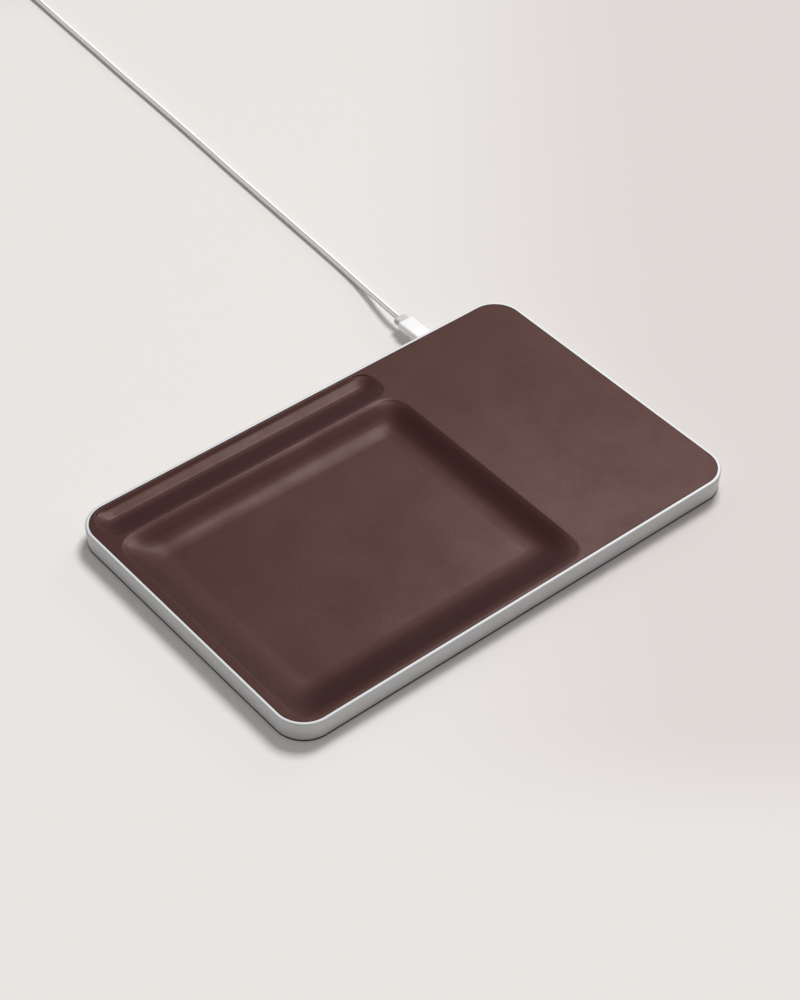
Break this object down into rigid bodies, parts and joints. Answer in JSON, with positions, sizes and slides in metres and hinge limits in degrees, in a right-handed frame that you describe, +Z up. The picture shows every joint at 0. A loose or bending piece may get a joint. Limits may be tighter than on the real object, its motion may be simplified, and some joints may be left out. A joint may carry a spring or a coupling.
{
  "type": "charging tray",
  "caption": "Low rectangular valet tray with a leather top, a shallow bowl, a pen trough and a flat wireless charging pad in a metal rim, with a detachable braided supply lead.",
  "frame": {"origin": "on the table, under the middle of the tray's outline (the lead and its plugs left out)", "axes": "+X along the tray's long side from the bowl to the charging pad, +Y to the side with the socket, +Z up"},
  "size_m": [0.3102, 0.6508, 0.0167],
  "materials": {
    "satin_aluminium": "fine satin, clear anodised, polished top land",
    "brown_leather": "smooth matte dark brown leather with a very fine grain",
    "black_plastic": "moulded black plastic",
    "steel": "plain plated steel",
    "grey_silicone": "matte silicone sheet",
    "enamelled_copper": null,
    "ferrite": null,
    "board_green": "green circuit board with solder mask",
    "chip_black": "black moulded chip package",
    "capacitor_tan": "tan film capacitor case",
    "wire_red": "insulated wire",
    "plug_white": "white, smooth and glossy",
    "collar_grey": "light grey, soft",
    "braid_white": "white braided textile sleeve with a grey tracer",
    "tie_grey": "grey hook-and-loop strap"
  },
  "bodies": {
    "tray": {"housing_frame": "satin_aluminium", "heat_spreader": "satin_aluminium", "leather_top": "brown_leather", "top_former": "black_plastic", "coil_carrier": "black_plastic", "usb_socket_tongue": "black_plastic", "base_plate": "steel", "ballast_plate": "steel", "base_screw_1": "steel", "base_screw_2": "steel", "base_screw_3": "steel", "base_screw_4": "steel", "base_screw_5": "steel", "base_screw_6": "steel", "base_screw_7": "steel", "base_screw_8": "steel", "carrier_screw_1": "steel", "carrier_screw_2": "steel", "carrier_screw_3": "steel", "carrier_screw_4": "steel", "board_screw_1": "steel", "board_screw_2": "steel", "board_screw_3": "steel", "usb_socket_shell": "steel", "base_pad": "grey_silicone", "charging_coil_front": "enamelled_copper", "charging_coil_middle": "enamelled_copper", "charging_coil_back": "enamelled_copper", "ferrite_sheet": "ferrite", "power_inductor": "ferrite", "main_board": "board_green", "controller_chip": "chip_black", "driver_chip": "chip_black", "resonance_capacitor_left": "capacitor_tan", "resonance_capacitor_right": "capacitor_tan", "coil_lead_front": "wire_red", "coil_lead_middle": "wire_red", "coil_lead_back": "wire_red"},
    "lead": {"plug_shell": "steel", "plug_body": "plug_white", "plug_collar": "collar_grey", "cord": "braid_white", "cord_coil": "braid_white", "cord_tail": "braid_white", "cord_tie_1": "tie_grey", "cord_tie_2": "tie_grey", "far_plug_body": "plug_white", "far_plug_collar": "collar_grey", "far_plug_shell": "steel"}
  },
  "joints": [
    {"name": "plug_slide", "type": "slide", "parent": "tray", "child": "lead", "axis": [0, 1, 0], "range_m": [0, 0.008]}
  ]
}
